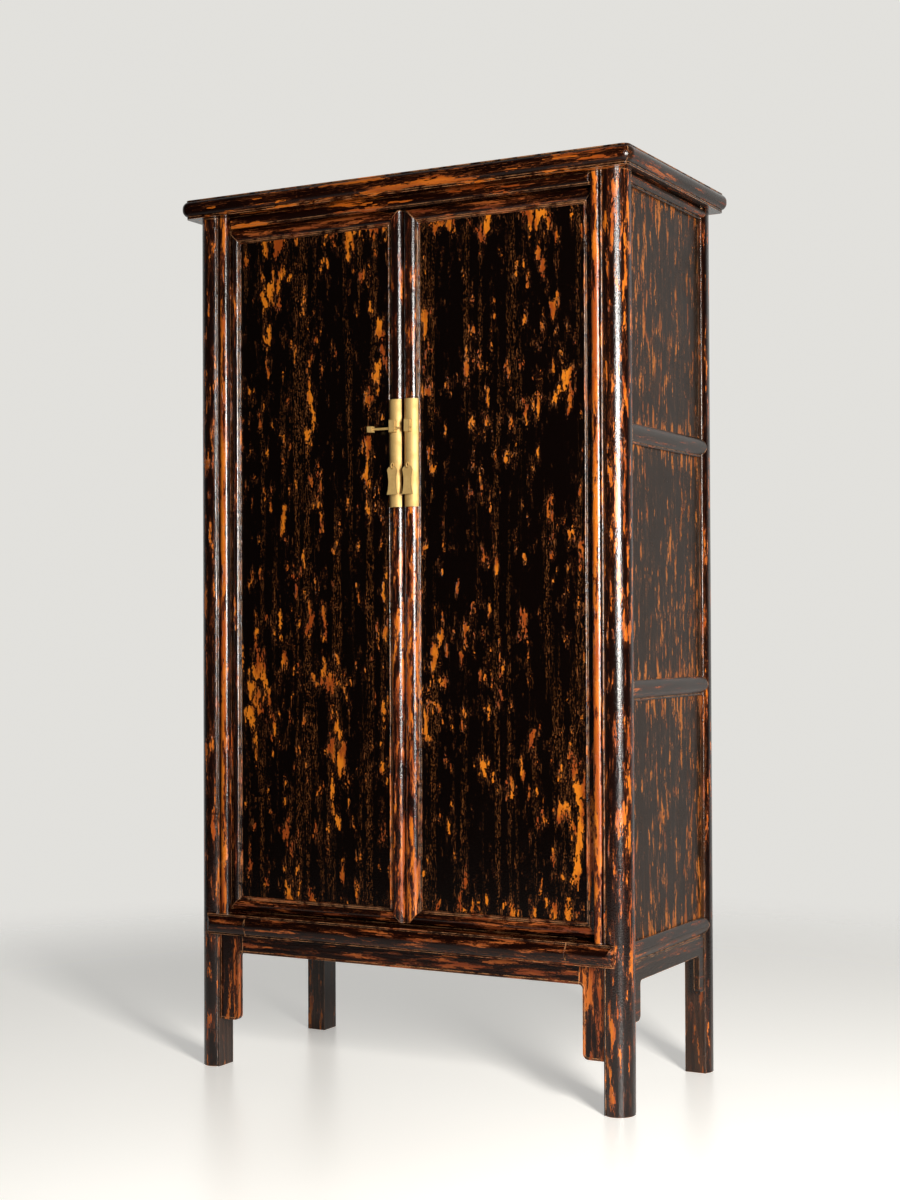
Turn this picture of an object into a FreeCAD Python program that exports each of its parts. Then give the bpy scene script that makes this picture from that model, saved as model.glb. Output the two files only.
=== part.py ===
import FreeCAD, Part
import os

from FreeCAD import Vector

# A lacquered wardrobe on four rounded posts, with two doors that turn on wooden pivots.
# X runs to the right, Y to the back, Z up; the origin is on the floor under the middle.

# Whole cabinet
total_height = 1850.0
body_width = 996.0
body_depth = 480.0

# Cap
cap_overhang = 27.0
cap_thickness = 40.0
cap_corner_radius = 22.0
cap_least_radius = 3.0
cap_rail_width = 80.0
cap_edge_round = 15.0
cap_bead_height = 5.0
cap_bead_inset = 10.0
cap_lip_height = 2.0
cap_lip_inset = 9.0
cap_panel_thickness = 12.0
cap_panel_drop = 3.0

# Posts
post_width = 51.0
post_depth = 57.0
post_bead = 4.0
post_shoulder = 17.0
post_drop = 7.0

# Side rails, and the levels of the shelves that lie on them
rail_height = 40.0
rail_depth = 32.0
rail_rise = 8.0
rail_bead = 4.0
rail_setback = 0.8
head_rail_height = 24.0
sill_top = 326.0
shelf_low_level = 829.0
shelf_high_level = 1326.0

# Front head rail and front sill
head_face = 10.0
head_rise = 4.0
head_end_round = 8.0
head_core_gap = 2.0
sill_height = 43.0
sill_proud = 10.0
sill_band = 4.0
sill_rise = 6.0
sill_end_round = 16.0
sill_joint_round = 3.5
sill_end_cover = 25.0
pivot_block_length = 100.0
stop_width = 12.0
stop_drop = 20.0
sill_ledge = 12.0

# Back
back_rail_setback = 8.0
back_rail_depth = 28.0
back_rail_level = 1064.0
back_panel_setback = 14.0

# Panels and boards
panel_thickness = 10.0
side_panel_setback = 14.0
groove_depth = 8.0
panel_play = 0.5
floor_thickness = 16.0
shelf_thickness = 18.0
shelf_front_gap = 1.0

# Aprons
apron_bottom = 244.0
apron_thickness = 12.0
apron_setback = 14.0
side_apron_setback = 8.0
apron_corner = 8.0
bracket_width = 47.0
bracket_bottom = 101.0
bracket_corner = 12.0
apron_bead = 4.0
apron_bead_rise = 1.5
side_apron_bottom = 249.0
side_bracket_width = 28.0
side_bracket_bottom = 172.0

# Doors
door_gap = 3.0
door_top_gap = 3.0
door_bottom_gap = 7.5
door_face = 28.0
door_back = 47.0
door_stop_gap = 1.0
door_bead = 3.5
door_rail_round = 22.0
door_rail_rise = 6.0
stile_round = 15.0
stile_rise = 4.0
stile_side_gap = 2.0
meeting_round = 29.0
meeting_rise = 10.0
door_panel_depth = 31.0
batten_height = 60.0

# Wooden pivots on the pivot stiles
strip_radius = 11.0
strip_gap = 0.6
strip_end_gap = 0.5
pivot_depth = 17.0
pivot_radius = 7.0
pivot_length = 18.0
pivot_play = 0.06
pivot_end_room = 2.0

# Brass
plate_thickness = 2.0
plate_edge = 1.2
plate_margin = 2.0
plate_bottom = 1178.0
plate_height = 220.0
lug_width = 12.0
lug_height = 25.0
lug_reach = 10.0
lug_bottom = 1330.0
lock_pin_radius = 2.5
lock_pin_length = 62.0
lock_pin_reach = 5.5
lock_pin_rise = 8.0
lock_head_length = 11.0
lock_head_size = 12.0
ring_level = 1262.0
ring_radius = 5.0
ring_wire = 1.1
ring_stand = 0.4
shank_depth = 12.0
brass_play = 0.08
pull_height = 58.0
pull_thickness = 2.4
pull_eye = 2.1
pull_rim = 1.8
pull_neck = 8.5
pull_shoulder = 23.0
pull_shoulder_drop = 9.0
pull_foot = 25.0

# Rise of an arc as a share of its chord
quarter_circle = (2 ** 0.5 - 1) / 2
bead_swell = 0.35
neck_swell = 0.15
waist_swell = 0.07

# Largest rounding of an edge, as a share of the height it has
largest_round = 0.45

# Rounding of the ring's edges, as a share of half its thickness
ring_edge_round = 0.8

# An edge that rises less than this lies level
level_tolerance = 0.01

# Planes that the pieces share
front = -body_depth / 2
back = body_depth / 2
side = body_width / 2
soffit = total_height - cap_thickness
post_inner_x = side - post_width
post_inner_y = front + post_depth
head_bottom = soffit - head_rail_height
sill_bottom = sill_top - sill_height
stop_face = front + door_back + door_stop_gap
side_panel_inner = side - side_panel_setback - panel_thickness
back_panel_inner = back - back_panel_setback - panel_thickness
bracket_inner = post_inner_x - bracket_width
block_end = side - sill_end_cover
block_joint = block_end - pivot_block_length
apron_front_face = front + apron_setback

# Door lines, for the right door
door_top = head_bottom - door_top_gap
door_bottom = sill_top + door_bottom_gap
door_front = front + door_face
door_rear = front + door_back
pivot_x = post_inner_x - strip_gap - strip_radius
pivot_y = front + pivot_depth
strip_inner = pivot_x - strip_radius
pivot_stile_inner = strip_inner - stile_round - 2 * door_bead
meeting_edge = door_gap / 2
meeting_inner = meeting_edge + meeting_round + 2 * door_bead
door_rail_width = door_rail_round + 2 * door_bead

# Brass lines, for the right door
plate_width = meeting_round + door_bead
plate_centre_x = meeting_edge + plate_width / 2
plate_front = door_front - meeting_rise - plate_thickness
ring_y = plate_front - ring_stand - ring_radius - ring_wire
lock_pin_y = plate_front - lock_pin_reach
lock_pin_z = lug_bottom + lock_pin_rise

x_axis = Vector(1, 0, 0)
y_axis = Vector(0, 1, 0)
z_axis = Vector(0, 0, 1)
origin = Vector(0, 0, 0)


# Helpers

def block(x_span, y_span, z_span):
    corner = Vector(min(x_span), min(y_span), min(z_span))
    size = [max(span) - min(span) for span in (x_span, y_span, z_span)]
    return Part.makeBox(size[0], size[1], size[2], corner)


def grown(span, play):
    return (min(span) - play, max(span) + play)


def grown_block(spans, play):
    return block(*[grown(span, play) for span in spans])


def plan(height):
    return lambda x, y: Vector(x, y, height)


def cross_section(x):
    return lambda y, z: Vector(x, y, z)


def front_view(y):
    return lambda x, z: Vector(x, y, z)


# A closed outline pushed along a direction. A step is (a, b), or (a, b, rise) for an arc that swells
# to the right of its travel by that share of its chord.
def extruded(place, start, steps, direction):
    edges = []
    here = start
    for step in list(steps) + [start]:
        there = step[:2]
        if len(step) == 3:
            run = (there[0] - here[0], there[1] - here[1])
            middle = ((here[0] + there[0]) / 2 + run[1] * step[2],
                      (here[1] + there[1]) / 2 - run[0] * step[2])
            edges.append(Part.Arc(place(*here), place(*middle), place(*there)).toShape())
        elif there != here:
            edges.append(Part.makeLine(place(*here), place(*there)))
        here = there
    return Part.Face(Part.Wire(edges)).extrude(direction)


def mirrored_x(shape):
    return shape.mirror(origin, x_axis)


def mirrored_y(shape):
    return shape.mirror(origin, y_axis)


def largest(shape):
    return max(shape.Solids, key=lambda solid: solid.Volume)


def without(shape, cutters):
    for cutter in cutters:
        shape = shape.cut(cutter)
    return shape


def is_level(edge):
    return edge.BoundBox.ZLength < level_tolerance


def upright(radius, x, y, bottom, top):
    return Part.makeCylinder(radius, top - bottom, Vector(x, y, bottom), z_axis)


# Panels and boards, as spans along X, Y and Z

def side_panel_spans():
    levels = [sill_top, shelf_low_level - rail_height, shelf_low_level,
              shelf_high_level - rail_height, shelf_high_level, head_bottom]
    reach = -post_inner_y + groove_depth - panel_play
    x_span = (side_panel_inner, side_panel_inner + panel_thickness)
    spans = {}
    for name, low, high in zip(("low", "mid", "high"), levels[0::2], levels[1::2]):
        z_span = grown((low, high), groove_depth - panel_play)
        spans[name] = (x_span, (-reach, reach), z_span)
    return spans


def back_panel_spans():
    levels = [sill_top, back_rail_level - rail_height / 2, back_rail_level + rail_height / 2, head_bottom]
    reach = post_inner_x + groove_depth - panel_play
    y_span = (back_panel_inner, back_panel_inner + panel_thickness)
    spans = {}
    for name, low, high in zip(("low", "high"), levels[0::2], levels[1::2]):
        z_span = grown((low, high), groove_depth - panel_play)
        spans[name] = ((-reach, reach), y_span, z_span)
    return spans


def cap_panel_spans():
    reach_x = side + cap_overhang - cap_rail_width + groove_depth - panel_play
    reach_y = back + cap_overhang - cap_rail_width + groove_depth - panel_play
    top = total_height - cap_panel_drop
    return ((-reach_x, reach_x), (-reach_y, reach_y), (top - cap_panel_thickness, top))


def door_panel_spans():
    x_span = grown((meeting_inner, pivot_stile_inner), groove_depth - panel_play)
    y_span = (front + door_panel_depth, front + door_panel_depth + panel_thickness)
    z_span = grown((door_bottom + door_rail_width, door_top - door_rail_width), groove_depth - panel_play)
    return (x_span, y_span, z_span)


def grooves(all_spans):
    return [grown_block(spans, panel_play) for spans in all_spans]


side_grooves = grooves(side_panel_spans().values())
back_grooves = grooves(back_panel_spans().values())
cap_grooves = grooves([cap_panel_spans()])
door_grooves = grooves([door_panel_spans()])


# Posts

# The front right post: bead, swelling, round outer corner, swelling, bead, and a square inner corner.
def plain_post():
    shoulder_chord = (post_shoulder ** 2 + post_drop ** 2) ** 0.5
    shoulder_swell = (shoulder_chord - post_shoulder) / (2 * post_drop)
    bead_y = front + post_drop
    bead_x = side - post_drop
    swell_x = post_inner_x + post_bead
    swell_y = post_inner_y - post_bead
    outline = [
        (swell_x, bead_y, bead_swell),
        (swell_x + post_shoulder, front, shoulder_swell),
        (side, swell_y - post_shoulder, quarter_circle),
        (bead_x, swell_y, shoulder_swell),
        (bead_x, post_inner_y, bead_swell),
        (post_inner_x, post_inner_y),
    ]
    return extruded(plan(0), (post_inner_x, bead_y), outline, z_axis * soffit)


def front_post():
    return without(plain_post(), side_grooves)


def back_post():
    return without(mirrored_y(plain_post()), side_grooves + back_grooves)


# Cap

def rounded_slab(inset, bottom, top):
    half_x = side + cap_overhang - inset
    half_y = back + cap_overhang - inset
    slab = block((-half_x, half_x), (-half_y, half_y), (bottom, top))
    corners = [edge for edge in slab.Edges if not is_level(edge)]
    return slab.makeFillet(max(cap_corner_radius - inset, cap_least_radius), corners)


def cap_slab():
    edge_bottom = soffit + cap_bead_height
    edge_top = total_height - cap_lip_height
    edge_round = min(cap_edge_round, largest_round * (edge_top - edge_bottom))
    body = rounded_slab(0, edge_bottom, edge_top)
    rims = [edge for edge in body.Edges if is_level(edge)]
    body = body.makeFillet(edge_round, rims)
    bead = rounded_slab(cap_bead_inset, soffit, edge_bottom)
    lip = rounded_slab(cap_lip_inset, edge_top, total_height)
    return body.fuse([bead, lip]).removeSplitter()


def cap_rails():
    half_x = side + cap_overhang
    half_y = back + cap_overhang
    inner_x = half_x - cap_rail_width
    inner_y = half_y - cap_rail_width
    well = block((-inner_x, inner_x), (-inner_y, inner_y), (soffit, total_height))
    ring = without(cap_slab(), [well] + cap_grooves)
    up = z_axis * cap_thickness
    front_zone = extruded(plan(soffit), (-half_x, -half_y),
                          [(half_x, -half_y), (inner_x, -inner_y), (-inner_x, -inner_y)], up)
    right_zone = extruded(plan(soffit), (half_x, -half_y),
                          [(half_x, half_y), (inner_x, inner_y), (inner_x, -inner_y)], up)
    front_rail = ring.common(front_zone)
    right_rail = ring.common(right_zone)
    sockets = [upright(pivot_radius + pivot_play, x, pivot_y, soffit, soffit + pivot_length + pivot_end_room)
               for x in (-pivot_x, pivot_x)]
    return {
        "cap_front": without(front_rail, sockets),
        "cap_back": mirrored_y(front_rail),
        "cap_left": mirrored_x(right_rail),
        "cap_right": right_rail,
    }


# Side rails: half-round with a bead along the lower edge, scribed over the rounded posts at both ends

def side_rail(bottom, height):
    crown = side - rail_setback
    base = crown - rail_rise
    inner = crown - rail_depth
    top = bottom + height
    swell = rail_rise / (height - rail_bead)
    run = post_inner_y - post_bead - post_shoulder
    outline = [
        (base, bottom),
        (base, bottom + rail_bead, bead_swell),
        (base, top, swell),
        (inner, top),
    ]
    rail = extruded(front_view(run), (inner, bottom), outline, y_axis * (-2 * run))
    posts = [plain_post(), mirrored_y(plain_post())]
    return largest(without(rail, posts + side_grooves))


# Front head rail: a moulded face between the pivot strips, a core behind them and a stop for the doors

def head_rail_front():
    face_end = strip_inner - strip_gap
    core = pivot_y + strip_radius + head_core_gap
    face_front = front + head_face
    outline = [
        (face_front + head_rise, soffit),
        (face_front + head_rise, head_bottom + rail_bead, head_rise / (head_rail_height - rail_bead)),
        (face_front + head_rise, head_bottom, bead_swell),
        (stop_face, head_bottom),
    ]
    face = extruded(cross_section(-face_end), (stop_face, soffit), outline, x_axis * (2 * face_end))
    ends = extruded(plan(head_bottom), (-face_end, stop_face), [
        (-face_end, face_front + head_end_round),
        (-face_end + head_end_round, face_front, -quarter_circle),
        (face_end - head_end_round, face_front),
        (face_end, face_front + head_end_round, quarter_circle),
        (face_end, stop_face),
    ], z_axis * head_rail_height)
    body = block((-post_inner_x, post_inner_x), (core, stop_face + stop_width), (head_bottom, soffit))
    stop = block((-post_inner_x, post_inner_x), (stop_face, stop_face + stop_width),
                 (head_bottom - stop_drop, soffit))
    return face.common(ends).fuse([body, stop]).removeSplitter()


# Front sill: a proud swelling rail between two flat bands, whose ends are separate blocks that carry
# the lower pivots

def sill_moulding(x_start, x_end, round_start, round_end):
    face = front - sill_proud
    base = face + sill_rise
    outline = [
        (base, sill_top),
        (base, sill_top - sill_band),
        (base, sill_bottom + sill_band, sill_rise / (sill_height - 2 * sill_band)),
        (base, sill_bottom),
        (stop_face, sill_bottom),
    ]
    rail = extruded(cross_section(x_start), (stop_face, sill_top), outline, x_axis * (x_end - x_start))
    ends = extruded(plan(sill_bottom), (x_start + round_start, face), [
        (x_end - round_end, face),
        (x_end, face + round_end, quarter_circle),
        (x_end, stop_face),
        (x_start, stop_face),
        (x_start, face + round_start),
        (x_start + round_start, face, quarter_circle),
    ], z_axis * sill_height)
    return rail.common(ends)


def sill_front():
    moulding = sill_moulding(-block_joint, block_joint, sill_joint_round, sill_joint_round)
    x_span = (-post_inner_x, post_inner_x)
    stop = block(x_span, (stop_face, stop_face + stop_width), (sill_bottom, sill_top + floor_thickness))
    ledge = block(x_span, (stop_face, stop_face + stop_width + sill_ledge), (sill_bottom, sill_top))
    return moulding.fuse([stop, ledge]).removeSplitter()


def pivot_block():
    socket = upright(pivot_radius + pivot_play, pivot_x, pivot_y,
                     sill_top - pivot_length - pivot_end_room, sill_top)
    whole = sill_moulding(block_joint, block_end, sill_joint_round, sill_end_round)
    return largest(without(whole, [plain_post(), socket]))


# Back rails

def back_rail(bottom, height):
    y_end = back - back_rail_setback
    rail = block((-post_inner_x, post_inner_x), (y_end - back_rail_depth, y_end), (bottom, bottom + height))
    return without(rail, back_grooves)


# Aprons

# A bead on the face of a front apron piece: its long front edges are rounded, its ends stay square
def rounded_bead(bead, end_x):
    bead_front = apron_front_face - apron_bead_rise
    rims = []
    for edge in bead.Edges:
        box = edge.BoundBox
        at_end = any(max(abs(box.XMin - x), abs(box.XMax - x)) < level_tolerance for x in end_x)
        if box.YMax < bead_front + level_tolerance and not at_end:
            rims.append(edge)
    return bead.makeFillet(largest_round * min(apron_bead, apron_bead_rise), rims)


def apron_front():
    reach = bracket_inner - apron_corner
    x_span = (-reach, reach)
    face = block(x_span, (apron_front_face, apron_front_face + apron_thickness), (apron_bottom, sill_bottom))
    bead = block(x_span, (apron_front_face - apron_bead_rise, apron_front_face),
                 (apron_bottom, apron_bottom + apron_bead))
    return face.fuse(rounded_bead(bead, x_span)).removeSplitter()


# The right bracket between two depths, drawn in from its free edges
def bracket_shape(inset, y_start, y_end):
    inner = bracket_inner + inset
    bottom = bracket_bottom + inset
    joint = bracket_inner - apron_corner
    outline = [
        (post_inner_x, bottom),
        (inner + bracket_corner - inset, bottom),
        (inner, bottom + bracket_corner - inset, -quarter_circle),
        (inner, apron_bottom - apron_corner),
        (joint, apron_bottom + inset, quarter_circle),
        (joint, sill_bottom),
    ]
    return extruded(front_view(y_start), (post_inner_x, sill_bottom), outline, y_axis * (y_end - y_start))


def front_bracket():
    bead_front = apron_front_face - apron_bead_rise
    face = bracket_shape(0, apron_front_face, apron_front_face + apron_thickness)
    rim = bracket_shape(0, bead_front, apron_front_face)
    field = bracket_shape(apron_bead, bead_front, apron_front_face)
    bead = rounded_bead(rim.cut(field), (post_inner_x, bracket_inner - apron_corner))
    return face.fuse(bead).removeSplitter()


def side_apron():
    start = post_inner_y
    inner = start + side_bracket_width
    top = sill_top - rail_height
    half = [
        (start, side_bracket_bottom),
        (inner - bracket_corner, side_bracket_bottom),
        (inner, side_bracket_bottom + bracket_corner, quarter_circle),
        (inner, side_apron_bottom - apron_corner),
        (inner + apron_corner, side_apron_bottom, -quarter_circle),
    ]
    other = [
        (-inner - apron_corner, side_apron_bottom),
        (-inner, side_apron_bottom - apron_corner, -quarter_circle),
        (-inner, side_bracket_bottom + bracket_corner),
        (-inner + bracket_corner, side_bracket_bottom, quarter_circle),
        (-start, side_bracket_bottom),
        (-start, top),
    ]
    x_start = side - side_apron_setback - apron_thickness
    return extruded(cross_section(x_start), (start, top), half + other, x_axis * apron_thickness)


# Floor board and shelves, notched round the back posts

def board(y_start, bottom, thickness):
    reach = side_panel_inner - panel_play
    y_end = back_panel_inner - panel_play
    z_span = (bottom, bottom + thickness)
    whole = block((-reach, reach), (y_start, y_end), z_span)
    notches = [grown_block((x_span, (-post_inner_y, back), z_span), panel_play)
               for x_span in ((post_inner_x, side), (-side, -post_inner_x))]
    return without(whole, notches)


# Doors: every piece is made for the right door

def rail_zone(inner_z, outer_z):
    height = abs(outer_z - inner_z)
    up = 1 if outer_z > inner_z else -1
    at_pivot = min(strip_inner - pivot_stile_inner, height)
    at_meeting = min(meeting_inner - meeting_edge, height)
    outline = [
        (pivot_stile_inner + at_pivot, inner_z + up * at_pivot),
        (pivot_stile_inner + at_pivot, outer_z),
        (meeting_inner - at_meeting, outer_z),
        (meeting_inner - at_meeting, inner_z + up * at_meeting),
        (meeting_inner, inner_z),
    ]
    return extruded(front_view(front), (pivot_stile_inner, inner_z), outline, y_axis * door_back)


def rail_zones():
    return [rail_zone(door_top - door_rail_width, door_top),
            rail_zone(door_bottom + door_rail_width, door_bottom)]


def shank(y_start, play):
    depth = plate_front + plate_thickness + shank_depth - y_start
    start = Vector(plate_centre_x, y_start, ring_level)
    return Part.makeCylinder(ring_wire + play, depth + play, start, y_axis)


def pivot_stile():
    outline = [
        (pivot_stile_inner, door_front),
        (pivot_stile_inner + door_bead, door_front, bead_swell),
        (pivot_stile_inner + 2 * door_bead, door_front, bead_swell),
        (strip_inner, door_front, stile_rise / stile_round),
        (pivot_x, door_front),
        (pivot_x, door_rear),
    ]
    length = door_top - door_bottom
    frame = extruded(plan(door_bottom), (pivot_stile_inner, door_rear), outline, z_axis * length)
    frame = without(frame, rail_zones())
    outer_edge = post_inner_x - stile_side_gap
    heel = block((pivot_x - strip_radius / 2, outer_edge), (pivot_y, door_rear), (door_bottom, door_top))
    heel = heel.common(upright(door_rear - pivot_y, pivot_x, pivot_y, door_bottom, door_top))
    strip = upright(strip_radius, pivot_x, pivot_y, sill_top + strip_end_gap, soffit - strip_end_gap)
    pivots = upright(pivot_radius, pivot_x, pivot_y, sill_top - pivot_length, soffit + pivot_length)
    stile = frame.fuse([heel, strip, pivots]).removeSplitter()
    return without(stile, door_grooves)


def plain_meeting_stile():
    outline = [
        (meeting_edge, door_front),
        (meeting_edge + meeting_round, door_front, meeting_rise / meeting_round),
        (meeting_inner - door_bead, door_front, bead_swell),
        (meeting_inner, door_front, bead_swell),
        (meeting_inner, door_rear),
    ]
    length = door_top - door_bottom
    return extruded(plan(door_bottom), (meeting_edge, door_rear), outline, z_axis * length)


def meeting_stile():
    hole = shank(ring_y, brass_play)
    return without(plain_meeting_stile(), rail_zones() + door_grooves + [hole])


def door_rail(outline, zone):
    start = (door_rear, outline[0][1])
    rail = extruded(cross_section(meeting_edge), start, outline, x_axis * (pivot_x - meeting_edge))
    return without(rail.common(zone), door_grooves)


def door_top_rail():
    inner = door_top - door_rail_width
    outline = [
        (door_front, door_top),
        (door_front, inner + 2 * door_bead, door_rail_rise / door_rail_round),
        (door_front, inner + door_bead, bead_swell),
        (door_front, inner, bead_swell),
        (door_rear, inner),
    ]
    return door_rail(outline, rail_zone(inner, door_top))


def door_bottom_rail():
    inner = door_bottom + door_rail_width
    outline = [
        (door_front, inner),
        (door_front, inner - door_bead, bead_swell),
        (door_front, inner - 2 * door_bead, bead_swell),
        (door_front, door_bottom, door_rail_rise / door_rail_round),
        (door_rear, door_bottom),
    ]
    return door_rail(outline, rail_zone(inner, door_bottom))


def door_batten():
    middle = (door_top + door_bottom) / 2
    y_start = front + door_panel_depth + panel_thickness
    return block((meeting_inner, pivot_stile_inner), (y_start, door_rear),
                 (middle - batten_height / 2, middle + batten_height / 2))


# Brass

# A half-round plate bent over the meeting stile and its first bead, with a lug for the lock pin
def lock_plate():
    edge = door_front - plate_edge
    plate_end = meeting_edge + plate_width
    outline = [
        (meeting_edge, edge),
        (plate_end, edge, (edge - plate_front) / plate_width),
        (plate_end, door_front),
    ]
    plate = extruded(plan(plate_bottom), (meeting_edge, door_front), outline, z_axis * plate_height)
    bare_edge = block((meeting_edge, meeting_edge + plate_margin), (plate_front, door_front),
                      (plate_bottom, plate_bottom + plate_height))
    lug = block((plate_centre_x - lug_width / 2, plate_centre_x + lug_width / 2),
                (plate_front - lug_reach, door_front), (lug_bottom, lug_bottom + lug_height))
    pin_hole = Part.makeCylinder(lock_pin_radius + brass_play, lug_width,
                                 Vector(plate_centre_x - lug_width / 2, lock_pin_y, lock_pin_z), x_axis)
    cutters = [plain_meeting_stile(), bare_edge, pin_hole, shank(ring_y, brass_play)]
    return largest(without(plate.fuse(lug), cutters))


# A flat ring with rounded edges, on a shank that goes through the plate into the stile
def pull_ring():
    start = Vector(plate_centre_x - ring_wire, ring_y, ring_level)
    disc = Part.makeCylinder(ring_radius + ring_wire, 2 * ring_wire, start, x_axis)
    eye = Part.makeCylinder(ring_radius - ring_wire, 2 * ring_wire, start, x_axis)
    ring = disc.cut(eye)
    rims = [edge for edge in ring.Edges if edge.isClosed()]
    ring = ring.makeFillet(ring_wire * ring_edge_round, rims)
    return ring.fuse(shank(ring_y + ring_radius, 0)).removeSplitter()


def pull():
    eye_z = ring_level - ring_radius
    top = eye_z + pull_eye + pull_rim
    bottom = top - pull_height
    shoulder_z = top - pull_shoulder_drop
    left = plate_centre_x - pull_neck / 2
    right = plate_centre_x + pull_neck / 2
    shoulder = pull_shoulder / 2
    foot = pull_foot / 2
    outline = [
        (right, top),
        (plate_centre_x + shoulder, shoulder_z, -neck_swell),
        (plate_centre_x + foot, bottom, waist_swell),
        (plate_centre_x - foot, bottom),
        (plate_centre_x - shoulder, shoulder_z, waist_swell),
        (left, top, -neck_swell),
    ]
    y_start = ring_y - pull_thickness / 2
    plate = extruded(front_view(y_start), (left, top), outline, y_axis * pull_thickness)
    eye = Part.makeCylinder(pull_eye, pull_thickness, Vector(plate_centre_x, y_start, eye_z), y_axis)
    return plate.cut(eye)


# Drawn back: its tip is level with the edge of the left door
def lock_pin():
    tip = -meeting_edge
    rod_start = tip - lock_pin_length
    half = lock_head_size / 2
    rod_end = Vector(rod_start, lock_pin_y, lock_pin_z)
    rod = Part.makeCylinder(lock_pin_radius, lock_pin_length, rod_end, x_axis)
    head = block((rod_start - lock_head_length, rod_start), (lock_pin_y - half, lock_pin_y + half),
                 (lock_pin_z - half, lock_pin_z + half))
    return rod.fuse(head).removeSplitter()


# The whole cabinet, piece by piece

pieces = {}
pieces["post_front_right"] = front_post()
pieces["post_back_right"] = back_post()
for place in ("front", "back"):
    pieces["post_" + place + "_left"] = mirrored_x(pieces["post_" + place + "_right"])

pieces.update(cap_rails())
pieces["cap_panel"] = block(*cap_panel_spans())

side_rails = {
    "head_rail": (head_bottom, head_rail_height),
    "cross_rail_high": (shelf_high_level - rail_height, rail_height),
    "cross_rail_low": (shelf_low_level - rail_height, rail_height),
    "sill": (sill_top - rail_height, rail_height),
}
for name, (bottom, height) in side_rails.items():
    pieces[name + "_right"] = side_rail(bottom, height)
    pieces[name + "_left"] = mirrored_x(pieces[name + "_right"])

pieces["head_rail_front"] = head_rail_front()
pieces["head_rail_back"] = back_rail(head_bottom, head_rail_height)
pieces["back_rail"] = back_rail(back_rail_level - rail_height / 2, rail_height)
pieces["sill_front"] = sill_front()
pieces["sill_back"] = back_rail(sill_top - rail_height, rail_height)
pieces["pivot_block_right"] = pivot_block()
pieces["pivot_block_left"] = mirrored_x(pieces["pivot_block_right"])

for level, spans in side_panel_spans().items():
    pieces["side_panel_" + level + "_right"] = block(*spans)
    pieces["side_panel_" + level + "_left"] = mirrored_x(pieces["side_panel_" + level + "_right"])
for level, spans in back_panel_spans().items():
    pieces["back_panel_" + level] = block(*spans)

pieces["apron_front"] = apron_front()
pieces["apron_right"] = side_apron()
pieces["apron_left"] = mirrored_x(pieces["apron_right"])
pieces["bracket_right"] = front_bracket()
pieces["bracket_left"] = mirrored_x(pieces["bracket_right"])

pieces["floor_board"] = board(stop_face + stop_width + panel_play, sill_top, floor_thickness)
for level, height in (("low", shelf_low_level), ("high", shelf_high_level)):
    pieces["shelf_" + level] = board(post_inner_y + shelf_front_gap, height, shelf_thickness)

door_pieces = {
    "door_pivot_stile": pivot_stile(),
    "door_meeting_stile": meeting_stile(),
    "door_top_rail": door_top_rail(),
    "door_bottom_rail": door_bottom_rail(),
    "door_panel": block(*door_panel_spans()),
    "door_batten": door_batten(),
    "lock_plate": lock_plate(),
    "pull_ring": pull_ring(),
    "pull": pull(),
}
for name, shape in door_pieces.items():
    pieces[name + "_right"] = shape
    pieces[name + "_left"] = mirrored_x(shape)
pieces["lock_pin"] = lock_pin()

os.makedirs("parts", exist_ok=True)
for name, shape in pieces.items():
    shape.exportStep("parts/" + name + ".step")
    print(name, len(shape.Solids), shape.isValid(), round(shape.Volume / 1000, 1))
print("pieces", len(pieces))
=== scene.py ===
import bpy
import math
from mathutils import Euler, Matrix, Vector

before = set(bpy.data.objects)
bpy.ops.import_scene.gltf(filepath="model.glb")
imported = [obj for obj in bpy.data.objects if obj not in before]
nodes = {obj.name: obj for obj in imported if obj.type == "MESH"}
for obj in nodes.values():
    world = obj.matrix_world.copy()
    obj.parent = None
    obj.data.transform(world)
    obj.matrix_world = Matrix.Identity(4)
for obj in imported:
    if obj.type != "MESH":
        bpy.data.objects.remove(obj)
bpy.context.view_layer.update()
print("frame loaded:", len(nodes), "nodes")


# Small helpers for building node trees

def setInput(tree, socket, value):
    if isinstance(value, bpy.types.NodeSocket):
        tree.links.new(value, socket)
    else:
        socket.default_value = value


def calc(tree, operation, first, second=0.0, clamp=False):
    node = tree.nodes.new("ShaderNodeMath")
    node.operation = operation
    node.use_clamp = clamp
    setInput(tree, node.inputs[0], first)
    setInput(tree, node.inputs[1], second)
    return node.outputs[0]


# Noise swings about a half
def centred(tree, value):
    return calc(tree, "SUBTRACT", value, 0.5)


def vectorCalc(tree, operation, first, second=(0.0, 0.0, 0.0)):
    node = tree.nodes.new("ShaderNodeVectorMath")
    node.operation = operation
    setInput(tree, node.inputs[0], first)
    setInput(tree, node.inputs[1], second)
    return node.outputs["Value" if operation in ("DOT_PRODUCT", "LENGTH") else "Vector"]


def stretch(tree, vector, factors):
    return vectorCalc(tree, "MULTIPLY", vector, factors)


def shifted(tree, vector, offset):
    return vectorCalc(tree, "ADD", vector, offset)


def noise(tree, vector, factors=None, scale=1.0, detail=2.0, roughness=0.5, distortion=0.0):
    if factors:
        vector = stretch(tree, vector, factors)
    node = tree.nodes.new("ShaderNodeTexNoise")
    setInput(tree, node.inputs["Vector"], vector)
    node.inputs["Scale"].default_value = scale
    node.inputs["Detail"].default_value = detail
    node.inputs["Roughness"].default_value = roughness
    node.inputs["Distortion"].default_value = distortion
    return node.outputs["Fac"]


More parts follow.
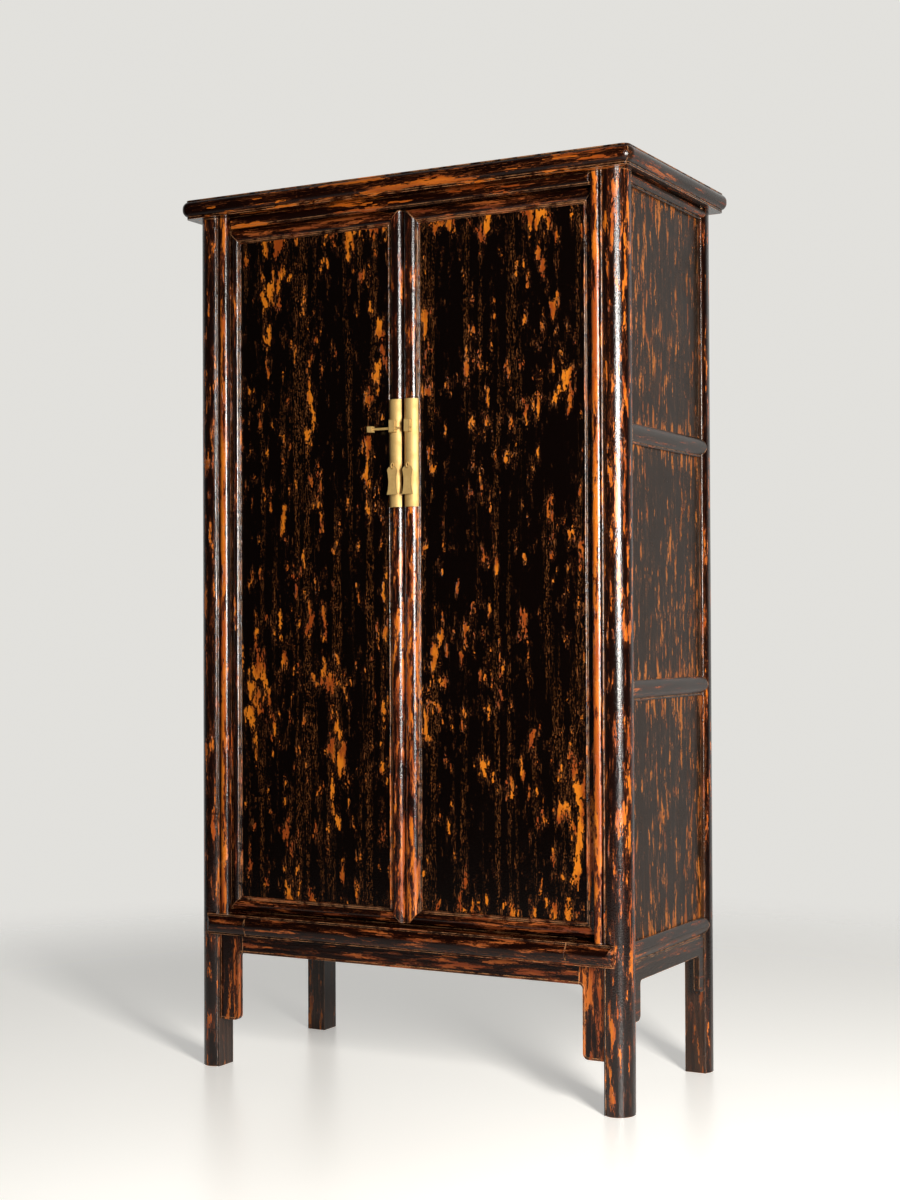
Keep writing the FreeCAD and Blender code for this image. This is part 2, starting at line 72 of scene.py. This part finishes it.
def ramp(tree, value, low, high, outLow=0.0, outHigh=1.0):
    node = tree.nodes.new("ShaderNodeMapRange")
    node.interpolation_type = "SMOOTHSTEP"
    setInput(tree, node.inputs["Value"], value)
    node.inputs["From Min"].default_value = low
    node.inputs["From Max"].default_value = high
    node.inputs["To Min"].default_value = outLow
    node.inputs["To Max"].default_value = outHigh
    return node.outputs["Result"]


# A Mix node has sockets for every type, so two inputs and an output are picked by number
mixSockets = {"FLOAT": (2, 3, 0), "RGBA": (6, 7, 2)}


def mix(tree, kind, factor, first, second):
    firstIn, secondIn, out = mixSockets[kind]
    node = tree.nodes.new("ShaderNodeMix")
    node.data_type = kind
    setInput(tree, node.inputs["Factor"], factor)
    setInput(tree, node.inputs[firstIn], first)
    setInput(tree, node.inputs[secondIn], second)
    return node.outputs[out]


def mixColour(tree, factor, first, second):
    return mix(tree, "RGBA", factor, first, second)


def addBump(tree, shader, height, distance, strength=1.0):
    bump = tree.nodes.new("ShaderNodeBump")
    bump.inputs["Strength"].default_value = strength
    bump.inputs["Distance"].default_value = distance
    tree.links.new(height, bump.inputs["Height"])
    tree.links.new(bump.outputs["Normal"], shader.inputs["Normal"])


def newGroup(name, inputs, outputs):
    group = bpy.data.node_groups.new(name, "ShaderNodeTree")
    for label, kind in inputs.items():
        group.interface.new_socket(label, in_out="INPUT", socket_type="NodeSocket" + kind)
    for label, kind in outputs.items():
        group.interface.new_socket(label, in_out="OUTPUT", socket_type="NodeSocket" + kind)
    source = group.nodes.new("NodeGroupInput")
    target = group.nodes.new("NodeGroupOutput")
    return group, source.outputs, target.inputs


def placeGroup(tree, group, **values):
    node = tree.nodes.new("ShaderNodeGroup")
    node.node_tree = group
    for label, value in values.items():
        setInput(tree, node.inputs[label], value)
    return node.outputs


def newMaterial(name):
    material = bpy.data.materials.new(name)
    material.use_nodes = True
    tree = material.node_tree
    return material, tree, tree.nodes["Principled BSDF"]


# Coordinates turned so that the grain runs along Z, one unit across a flake and one along it
quarterTurn = math.radians(90)
grainTurn = {"X": (0.0, quarterTurn, 0.0), "Y": (quarterTurn, 0.0, 0.0), "Z": (0.0, 0.0, 0.0)}


def grainCoordinates(tree, grain, across, along):
    place = tree.nodes.new("ShaderNodeTexCoord").outputs["Object"]
    mapping = tree.nodes.new("ShaderNodeMapping")
    mapping.inputs["Scale"].default_value = [1 / along if axis == grain else 1 / across for axis in "XYZ"]
    mapping.inputs["Rotation"].default_value = grainTurn[grain]
    tree.links.new(place, mapping.inputs["Vector"])
    return place, mapping.outputs["Vector"]


# Lacquer that has flaked off in chips along the grain: bare patches with half-worn rims, a lace of
# specks and hairs round them, and fine cracks in upright streams
flakeSettings = {
    "band": {"factors": (0.21, 0.21, 0.13), "detail": 4.0, "roughness": 0.85},
    "chipFactors": (5.0, 5.0, 7.0),
    "patch": {"detail": 3.0, "roughness": 0.57, "distortion": 0.15},
    "speck": {"factors": (7.0, 7.0, 10.0), "roughness": 0.6},
    "hair": {"factors": (9.0, 9.0, 1.8)},
    "crack": {"factors": (3.2, 3.2, 1.1), "detail": 3.0, "roughness": 0.6},
    "stream": {"factors": (0.8, 0.8, 0.07)},
    "tone": {"scale": 0.5, "detail": 4.0, "roughness": 0.6},
    "toneShift": (7.3, 3.1, 5.7),
    "ragged": 0.16,
    "bareEdge": (0.622, 0.630), "remainEdge": (0.270, 0.290),
    "rimEdge": (0.48, 0.63), "laceEdge": (0.605, 0.635),
    "crackWidth": (0.004, 0.018), "streamEdge": (0.53, 0.64), "brokenEdge": (0.44, 0.52),
}


def chipCentres(tree, vector, factors):
    node = tree.nodes.new("ShaderNodeTexVoronoi")
    tree.links.new(stretch(tree, vector, factors), node.inputs["Vector"])
    node.inputs["Scale"].default_value = 1.0
    return stretch(tree, node.outputs["Position"], [1 / f for f in factors])


def makeFlakeGroup():
    s = flakeSettings
    group, given, result = newGroup(
        "flakedLacquer",
        {"Vector": "Vector", "Cover": "Float", "Clump": "Float"},
        {"Bare": "Float", "Lace": "Float", "Rim": "Float", "Tone": "Float"})
    vector = given["Vector"]
    band = noise(group, vector, **s["band"])
    patch = noise(group, chipCentres(group, vector, s["chipFactors"]), **s["patch"])
    speck = noise(group, vector, **s["speck"])
    hair = noise(group, vector, **s["hair"])
    crack = noise(group, vector, **s["crack"])
    stream = noise(group, vector, **s["stream"])

    clumped = calc(group, "MULTIPLY", centred(group, band), given["Clump"])
    level = calc(group, "ADD", calc(group, "ADD", patch, clumped), given["Cover"])
    ragged = calc(group, "MULTIPLY", centred(group, speck), s["ragged"])
    flaked = ramp(group, calc(group, "ADD", level, ragged), *s["bareEdge"])
    bare = calc(group, "MULTIPLY", flaked, ramp(group, speck, *s["remainEdge"]))
    rim = ramp(group, level, *s["rimEdge"])

    threads = calc(group, "MAXIMUM", ramp(group, speck, *s["laceEdge"]), ramp(group, hair, *s["laceEdge"]))
    cracks = ramp(group, calc(group, "ABSOLUTE", centred(group, crack)), *s["crackWidth"], 1.0, 0.0)
    streams = ramp(group, stream, *s["streamEdge"])
    broken = calc(group, "MULTIPLY", streams, ramp(group, speck, *s["brokenEdge"]))
    rimLace = calc(group, "MULTIPLY", threads, rim)
    lace = calc(group, "MAXIMUM", rimLace, calc(group, "MULTIPLY", cracks, broken))

    tone = noise(group, shifted(group, vector, s["toneShift"]), **s["tone"])
    for label, value in {"Bare": bare, "Lace": lace, "Rim": rim, "Tone": tone}.items():
        setInput(group, result[label], value)
    return group


flakeGroup = makeFlakeGroup()


# Arrises, found where a rounded normal leaves the face's own; on the lacquer they are painted lighter, partly
# as rubbed-bare wear and partly as painted highlight
edgeSettings = {
    "radius": 0.0024, "samples": 6, "turnedEdge": (0.008, 0.09),
    "breaks": {"scale": 55.0, "detail": 3.0, "roughness": 0.6}, "breakEdge": (0.36, 0.60),
}


def makeEdgeGroup():
    s = edgeSettings
    group, given, result = newGroup("bevelledEdgeMask", {"Place": "Vector"}, {"Edge": "Float"})
    bevel = group.nodes.new("ShaderNodeBevel")
    bevel.samples = s["samples"]
    bevel.inputs["Radius"].default_value = s["radius"]
    geometry = group.nodes.new("ShaderNodeNewGeometry")
    facing = vectorCalc(group, "DOT_PRODUCT", bevel.outputs["Normal"], geometry.outputs["Normal"])
    turned = ramp(group, calc(group, "SUBTRACT", 1.0, facing), *s["turnedEdge"])
    broken = ramp(group, noise(group, given["Place"], **s["breaks"]), *s["breakEdge"])
    setInput(group, result["Edge"], calc(group, "MULTIPLY", turned, broken))
    return group


edgeGroup = makeEdgeGroup()


# Crackle, brush marks and rubbed spots of old lacquer, as a height and a change of roughness
surfaceSettings = {
    "crackle": {"scale": 330.0, "detail": 3.0, "roughness": 0.6}, "crackleShare": 0.55,
    "ripple": {"factors": (1.6, 1.6, 0.25), "detail": 3.0, "roughness": 0.55}, "rippleShare": 0.45,
    "rub": {"scale": 14.0, "detail": 4.0, "roughness": 0.6},
}


def makeSurfaceGroup():
    s = surfaceSettings
    group, given, result = newGroup(
        "oldSurface", {"Vector": "Vector", "Place": "Vector"}, {"Height": "Float", "Rub": "Float"})
    crackle = calc(group, "MULTIPLY", noise(group, given["Place"], **s["crackle"]), s["crackleShare"])
    ripple = calc(group, "MULTIPLY", noise(group, given["Vector"], **s["ripple"]), s["rippleShare"])
    setInput(group, result["Height"], calc(group, "ADD", crackle, ripple))
    setInput(group, result["Rub"], noise(group, given["Place"], **s["rub"]))
    return group


surfaceGroup = makeSurfaceGroup()
print("shader groups made")


# The common look of the lacquer. Inside holds the distances from the middle, in X and in Y, within
# which a face looks into the cabinet and shows stained wood.
lacquerLook = {
    "grain": "Z", "across": 0.016, "along": 0.045, "shift": (0.0, 0.0, 0.0),
    "cover": -0.034, "clump": 0.90, "crest": None, "hem": None,
    "black": (0.0016, 0.0006, 0.0004, 1), "brown": (0.022, 0.006, 0.003, 1), "rimShade": 0.35,
    "lace": (0.36, 0.150, 0.055, 1), "laceShade": 0.7,
    "bare": (0.50, 0.142, 0.008, 1), "deep": (0.22, 0.040, 0.005, 1), "toneEdge": (0.40, 0.58),
    # Edge colour on arrises and beads: partly rubbed-bare wear, partly painted highlight standing in for
    # glints
    "edge": (0.46, 0.21, 0.09, 1), "edgeShade": 0.85,
    "inside": None, "insideFade": 0.0005, "insideShade": 1.0,
    "insideDark": (0.016, 0.0070, 0.0040, 1), "insideBrown": (0.056, 0.025, 0.012, 1),
    "figure": {"factors": (1.6, 1.6, 0.2), "detail": 4.0, "roughness": 0.6}, "figureEdge": (0.36, 0.66),
    "gloss": 0.17, "dull": 0.34, "rubbed": 0.25, "specular": 0.5, "bump": 0.0006, "sunk": 0.2,
}


# More wear on the proud front of a piece or low down on it, and close to the rails round a panel
def wearCover(tree, split, s):
    cover = s["cover"]
    if s["crest"]:
        crest = s["crest"]
        cover = ramp(tree, split[crest["axis"]], crest["worn"], crest["plain"], cover + crest["boost"], cover)
    if s["hem"]:
        hem = s["hem"]
        near = [calc(tree, "ABSOLUTE", calc(tree, "SUBTRACT", split["Z"], line)) for line in hem["lines"]]
        nearest = near[0]
        for other in near[1:]:
            nearest = calc(tree, "MINIMUM", nearest, other)
        cover = calc(tree, "ADD", cover, ramp(tree, nearest, 0.0, hem["reach"], hem["boost"], 0.0))
    return cover


def stainInside(tree, split, vector, colour, s):
    inner = [
        ramp(tree, calc(tree, "ABSOLUTE", split[axis]), limit - s["insideFade"], limit, s["insideShade"], 0.0)
        for axis, limit in zip("XY", s["inside"]) if limit]
    hidden = inner[0] if len(inner) == 1 else calc(tree, "MAXIMUM", *inner)
    figure = ramp(tree, noise(tree, vector, **s["figure"]), *s["figureEdge"])
    return mixColour(tree, hidden, colour, mixColour(tree, figure, s["insideDark"], s["insideBrown"]))


def makeLacquer(name, look):
    s = {**lacquerLook, **look}
    material, tree, shader = newMaterial(name)
    place, vector = grainCoordinates(tree, s["grain"], s["across"], s["along"])
    vector = shifted(tree, vector, s["shift"])
    separate = tree.nodes.new("ShaderNodeSeparateXYZ")
    tree.links.new(place, separate.inputs[0])
    split = separate.outputs
    flakes = placeGroup(
        tree, flakeGroup, Vector=vector, Cover=wearCover(tree, split, s), Clump=s["clump"])
    surface = placeGroup(tree, surfaceGroup, Vector=vector, Place=place)
    edges = placeGroup(tree, edgeGroup, Place=place)

    rim = calc(tree, "MULTIPLY", flakes["Rim"], s["rimShade"])
    lace = calc(tree, "MULTIPLY", flakes["Lace"], s["laceShade"])
    edge = calc(tree, "MULTIPLY", edges["Edge"], s["edgeShade"])
    tone = ramp(tree, flakes["Tone"], *s["toneEdge"])
    colour = mixColour(tree, rim, s["black"], s["brown"])
    colour = mixColour(tree, lace, colour, s["lace"])
    colour = mixColour(tree, flakes["Bare"], colour, mixColour(tree, tone, s["deep"], s["bare"]))
    # Arrises painted lighter: partly rubbed-bare wear, partly painted highlight
    colour = mixColour(tree, edge, colour, s["edge"])
    if s["inside"]:
        colour = stainInside(tree, split, vector, colour, s)
    tree.links.new(colour, shader.inputs["Base Color"])

    shader.inputs["Specular IOR Level"].default_value = s["specular"]
    worn = mix(tree, "FLOAT", flakes["Bare"], s["gloss"], s["dull"])
    rubbed = calc(tree, "MULTIPLY", centred(tree, surface["Rub"]), s["rubbed"])
    tree.links.new(calc(tree, "ADD", worn, rubbed, clamp=True), shader.inputs["Roughness"])
    sunk = calc(tree, "MULTIPLY", flakes["Bare"], s["sunk"])
    addBump(tree, shader, calc(tree, "SUBTRACT", surface["Height"], sunk), s["bump"])
    return material


# What each piece changes in the common look: panels first, then frame, posts, stiles and rails
doorPanelLook = {
    "shift": (21.3, 31.5, 46.5), "inside": (None, 0.2005), "cover": -0.032,
    "hem": {"lines": (0.3625, 1.754), "reach": 0.055, "boost": 0.05},
    "lace": (0.36, 0.125, 0.034, 1), "laceShade": 0.5, "specular": 0.20,
}
sidePanelLook = {
    "across": 0.010, "inside": (0.4755, None), "cover": -0.01, "clump": 0.7,
    "hem": {"lines": (0.326, 0.789, 0.829, 1.286, 1.326, 1.786), "reach": 0.045, "boost": 0.09},
    # The side panels' ground is lighter than the other blacks: partly dark brown lacquer, partly painted
    # sheen standing in for the grazing reflection of a pale room
    "black": (0.0125, 0.0062, 0.0031, 1), "brown": (0.050, 0.018, 0.007, 1),
    "lace": (0.20, 0.074, 0.024, 1),
    "bare": (0.36, 0.108, 0.015, 1), "deep": (0.19, 0.046, 0.008, 1),
    "gloss": 0.24, "specular": 0.10,
}
frameLook = {
    "across": 0.010, "along": 0.080, "clump": 0.60,
    "black": (0.0050, 0.0010, 0.0004, 1), "brown": (0.056, 0.011, 0.003, 1), "rimShade": 0.6,
    "lace": (0.24, 0.066, 0.018, 1), "specular": 0.35,
}
bracketLook = {
    **frameLook, "cover": 0.07,
    "bare": (0.40, 0.098, 0.012, 1), "deep": (0.20, 0.036, 0.006, 1),
}
postLook = {
    **frameLook, "along": 0.060, "cover": 0.02, "inside": (0.4475, 0.1835), "insideShade": 0.55,
    "bare": (0.51, 0.128, 0.008, 1), "deep": (0.27, 0.050, 0.006, 1),
    "gloss": 0.15, "dull": 0.24, "specular": 0.6, "bump": 0.0009,
}
stileLook = {
    **postLook, "inside": (None, 0.1945), "insideShade": 1.0,
    "brown": (0.090, 0.014, 0.004, 1), "rimShade": 0.75,
}
pivotStileLook = {
    **stileLook, "cover": -0.01, "crest": {"axis": "Y", "worn": -0.2328, "plain": -0.2290, "boost": 0.17},
    "bare": (0.50, 0.130, 0.010, 1), "deep": (0.30, 0.058, 0.008, 1), "dull": 0.26, "bump": 0.0008,
}
meetingStileLook = {
    **stileLook, "cover": -0.02, "crest": {"axis": "Z", "worn": 1.05, "plain": 1.45, "boost": 0.085},
}
railLook = {
    **frameLook, "grain": "X", "across": 0.008, "cover": 0.035,
    "bare": (0.28, 0.070, 0.014, 1), "deep": (0.120, 0.023, 0.006, 1),
}
doorRailLook = {**railLook, "inside": (None, 0.1945), "cover": 0.03}
sillLook = {**railLook, "cover": 0.01, "specular": 0.28}
sideRailLook = {
    # The side rails' ground is a lighter warm brown: partly dark brown lacquer, partly painted brown sheen
    # standing in for satin reflection
    **railLook, "grain": "Y", "cover": -0.03, "black": (0.014, 0.0080, 0.0050, 1), "specular": 0.26,
}
capLook = {
    **railLook, "across": 0.016, "along": 0.150, "rimShade": 0.25,
    "bare": (0.44, 0.108, 0.008, 1), "deep": (0.20, 0.038, 0.005, 1), "specular": 0.25,
}
lacquers = {
    "doorPanel": doorPanelLook, "sidePanel": sidePanelLook, "post": postLook, "cap": capLook,
    "sill": sillLook, "sideRail": sideRailLook, "doorRail": doorRailLook,
    "pivotStile": pivotStileLook, "meetingStile": meetingStileLook, "bracket": bracketLook,
}
materials = {finish: makeLacquer(finish + "Lacquer", look) for finish, look in lacquers.items()}


# Dark stained wood inside and behind
innerWoodSettings = {
    "across": 0.012, "along": 0.22,
    "figure": {"detail": 5.0, "roughness": 0.6, "distortion": 0.6}, "figureEdge": (0.36, 0.66),
    "dark": (0.032, 0.015, 0.008, 1), "pale": (0.095, 0.044, 0.021, 1),
    "pores": {"factors": (6.0, 6.0, 1.2), "detail": 3.0, "roughness": 0.6},
    "poreEdge": (0.55, 0.68), "poreShade": 0.6, "poreColour": (0.014, 0.007, 0.004, 1),
    "stain": {"scale": 2.6, "detail": 3.0},
    "stainEdge": (0.45, 0.68), "stainShade": 0.5, "stainColour": (0.030, 0.013, 0.008, 1),
    "roughEdge": (0.3, 0.7), "roughness": (0.42, 0.60), "bump": 0.0004, "bumpStrength": 0.3,
}


def makeInnerWood(name, grain):
    s = innerWoodSettings
    material, tree, shader = newMaterial(name)
    place, vector = grainCoordinates(tree, grain, s["across"], s["along"])
    figure = noise(tree, vector, **s["figure"])
    pores = noise(tree, vector, **s["pores"])
    stain = noise(tree, place, **s["stain"])
    colour = mixColour(tree, ramp(tree, figure, *s["figureEdge"]), s["dark"], s["pale"])
    porous = ramp(tree, pores, *s["poreEdge"], 0.0, s["poreShade"])
    colour = mixColour(tree, porous, colour, s["poreColour"])
    stained = ramp(tree, stain, *s["stainEdge"], 0.0, s["stainShade"])
    colour = mixColour(tree, stained, colour, s["stainColour"])
    tree.links.new(colour, shader.inputs["Base Color"])
    tree.links.new(ramp(tree, figure, *s["roughEdge"], *s["roughness"]), shader.inputs["Roughness"])
    addBump(tree, shader, calc(tree, "ADD", figure, pores), s["bump"], s["bumpStrength"])
    return material


materials["woodX"] = makeInnerWood("innerWoodAcross", "X")
materials["woodZ"] = makeInnerWood("innerWoodUpright", "Z")


# Satin brass, drawn lengthwise, with faint tarnish and darker edges
brassSettings = {
    "across": 0.0008, "along": 0.05,
    "cloud": {"scale": 38.0, "detail": 4.0, "roughness": 0.6}, "cloudEdge": (0.42, 0.70),
    "bright": (0.63, 0.425, 0.160, 1), "tarnished": (0.53, 0.345, 0.122, 1),
    "drawn": {"detail": 3.0, "roughness": 0.6},
    "drawnEdge": (0.56, 0.75), "drawnShade": 0.35, "drawnColour": (0.36, 0.25, 0.11, 1),
    "edgeShade": 0.7, "edgeColour": (0.16, 0.105, 0.040, 1),
    "metallic": 0.65, "roughEdge": (0.3, 0.7), "roughness": (0.58, 0.68),
    "bump": 0.0002, "bumpStrength": 0.12,
}


def makeBrass(name):
    s = brassSettings
    material, tree, shader = newMaterial(name)
    place, vector = grainCoordinates(tree, "Z", s["across"], s["along"])
    drawn = noise(tree, vector, **s["drawn"])
    cloud = noise(tree, place, **s["cloud"])
    edges = placeGroup(tree, edgeGroup, Place=place)
    colour = mixColour(tree, ramp(tree, cloud, *s["cloudEdge"]), s["bright"], s["tarnished"])
    lines = ramp(tree, drawn, *s["drawnEdge"], 0.0, s["drawnShade"])
    colour = mixColour(tree, lines, colour, s["drawnColour"])
    edge = calc(tree, "MULTIPLY", edges["Edge"], s["edgeShade"])
    colour = mixColour(tree, edge, colour, s["edgeColour"])
    tree.links.new(colour, shader.inputs["Base Color"])
    shader.inputs["Metallic"].default_value = s["metallic"]
    tree.links.new(ramp(tree, cloud, *s["roughEdge"], *s["roughness"]), shader.inputs["Roughness"])
    addBump(tree, shader, drawn, s["bump"], s["bumpStrength"])
    return material


materials["brass"] = makeBrass("satinBrass")
print("materials made:", len(materials))


# Which finish each node wears, by the start of its name
finishes = [
    ("lock_", "brass"), ("pull_", "brass"),
    ("back_panel", "woodZ"), ("back_rail", "woodX"), ("head_rail_back", "woodX"), ("sill_back", "woodX"),
    ("floor_", "woodX"), ("shelf_", "woodX"), ("door_batten", "woodX"),
    ("door_panel", "doorPanel"), ("door_pivot", "pivotStile"), ("door_meeting", "meetingStile"),
    ("door_", "doorRail"), ("side_panel", "sidePanel"), ("post_", "post"),
    ("cap_left", "sideRail"), ("cap_right", "sideRail"), ("cap_", "cap"), ("head_rail_front", "cap"),
    ("sill_front", "sill"), ("pivot_block", "sill"), ("apron_front", "sill"), ("bracket", "bracket"),
    ("", "sideRail"),
]


def finishFor(name):
    return next(finish for start, finish in finishes if name.startswith(start))


for name, node in nodes.items():
    for slot in node.material_slots:
        slot.material = materials[finishFor(name)]
print("finishes assigned")


# Pale floor that fades into the background
floorSettings = {
    "radius": 4.0, "sides": 96, "fade": (1.35, 2.8),
    "pale": (0.90, 0.89, 0.86, 1), "dim": 0.97, "tint": {"scale": 0.8, "detail": 3.0},
    "roughness": 0.30, "lift": 0.28,
}


def makeFloor():
    s = floorSettings
    bpy.ops.object.select_all(action="DESELECT")
    bpy.ops.mesh.primitive_circle_add(
        vertices=s["sides"], radius=s["radius"], fill_type="NGON", location=(0, 0, 0))
    floor = bpy.context.object
    floor.name = "studioFloor"
    material, tree, shader = newMaterial("paleFloor")
    place = tree.nodes.new("ShaderNodeTexCoord").outputs["Object"]
    lightPath = tree.nodes.new("ShaderNodeLightPath")
    tint = noise(tree, place, **s["tint"])
    dimmed = [c * s["dim"] for c in s["pale"][:3]] + [1]
    tree.links.new(mixColour(tree, tint, s["pale"], dimmed), shader.inputs["Base Color"])
    shader.inputs["Roughness"].default_value = s["roughness"]
    shader.inputs["Emission Color"].default_value = s["pale"]
    lift = calc(tree, "MULTIPLY", lightPath.outputs["Is Camera Ray"], s["lift"])
    tree.links.new(lift, shader.inputs["Emission Strength"])
    clear = tree.nodes.new("ShaderNodeBsdfTransparent")
    mixer = tree.nodes.new("ShaderNodeMixShader")
    tree.links.new(ramp(tree, vectorCalc(tree, "LENGTH", place), *s["fade"]), mixer.inputs[0])
    tree.links.new(shader.outputs[0], mixer.inputs[1])
    tree.links.new(clear.outputs[0], mixer.inputs[2])
    tree.links.new(mixer.outputs[0], tree.nodes["Material Output"].inputs["Surface"])
    floor.data.materials.append(material)


makeFloor()


# Studio: a tall narrow lamp to the right, and a room that is pale behind and dim in front
studioSettings = {
    "lampPlace": (2.45, -2.15, 1.40), "lampAim": (0.05, -0.1, 1.0), "lampSize": (0.55, 1.40),
    "lampPower": 195.0, "lampColour": (1.0, 0.97, 0.92),
    "backdrop": (0.76, 0.75, 0.72, 1),
    "roomPale": (0.50, 0.50, 0.49, 1), "roomDim": (0.030, 0.029, 0.028, 1),
    "paleSide": (-0.35, 0.93, 0.10), "paleRange": (0.15, 1.0),
}


def makeLamp():
    s = studioSettings
    lamp = bpy.data.lights.new("keyLamp", "AREA")
    lamp.shape = "RECTANGLE"
    lamp.size, lamp.size_y = s["lampSize"]
    lamp.energy = s["lampPower"]
    lamp.color = s["lampColour"]
    keyLamp = bpy.data.objects.new("keyLamp", lamp)
    bpy.context.scene.collection.objects.link(keyLamp)
    keyLamp.location = s["lampPlace"]
    aim = Vector(s["lampAim"]) - Vector(s["lampPlace"])
    keyLamp.rotation_euler = aim.to_track_quat("-Z", "Y").to_euler()


def makeRoom():
    s = studioSettings
    world = bpy.data.worlds.new("studioRoom")
    bpy.context.scene.world = world
    world.use_nodes = True
    tree = world.node_tree
    direction = tree.nodes.new("ShaderNodeTexCoord").outputs["Generated"]
    lightPath = tree.nodes.new("ShaderNodeLightPath").outputs
    room = tree.nodes["Background"]
    pale = ramp(tree, vectorCalc(tree, "DOT_PRODUCT", direction, s["paleSide"]), *s["paleRange"])
    tree.links.new(mixColour(tree, pale, s["roomDim"], s["roomPale"]), room.inputs["Color"])
    wall = tree.nodes.new("ShaderNodeBackground")
    wall.inputs["Color"].default_value = s["backdrop"]
    seen = calc(tree, "MAXIMUM", lightPath["Is Camera Ray"], lightPath["Is Transmission Ray"])
    mirrored = calc(tree, "MULTIPLY", lightPath["Is Glossy Ray"], pale)
    mixer = tree.nodes.new("ShaderNodeMixShader")
    tree.links.new(calc(tree, "MAXIMUM", seen, mirrored), mixer.inputs[0])
    tree.links.new(room.outputs[0], mixer.inputs[1])
    tree.links.new(wall.outputs[0], mixer.inputs[2])
    tree.links.new(mixer.outputs[0], tree.nodes["World Output"].inputs["Surface"])


makeLamp()
makeRoom()
print("floor and light made")


# Camera at the photograph's viewing angle
cameraSettings = {
    "place": (1.9697, -3.6282, 0.9356), "tilt": 90.767, "turn": 28.63, "roll": -0.2285,
    "lens": 58.13, "sensor": 36.0,
}


def makeCamera():
    s = cameraSettings
    camera = bpy.data.cameras.new("viewCamera")
    camera.sensor_width = s["sensor"]
    camera.lens = s["lens"]
    viewCamera = bpy.data.objects.new("viewCamera", camera)
    bpy.context.scene.collection.objects.link(viewCamera)
    viewCamera.location = s["place"]
    aim = Euler((math.radians(s["tilt"]), 0.0, math.radians(s["turn"]))).to_matrix()
    viewCamera.rotation_euler = (aim @ Matrix.Rotation(math.radians(s["roll"]), 3, "Z")).to_euler()
    bpy.context.scene.camera = viewCamera


makeCamera()
bpy.context.scene.view_settings.view_transform = "Standard"
print("camera made")
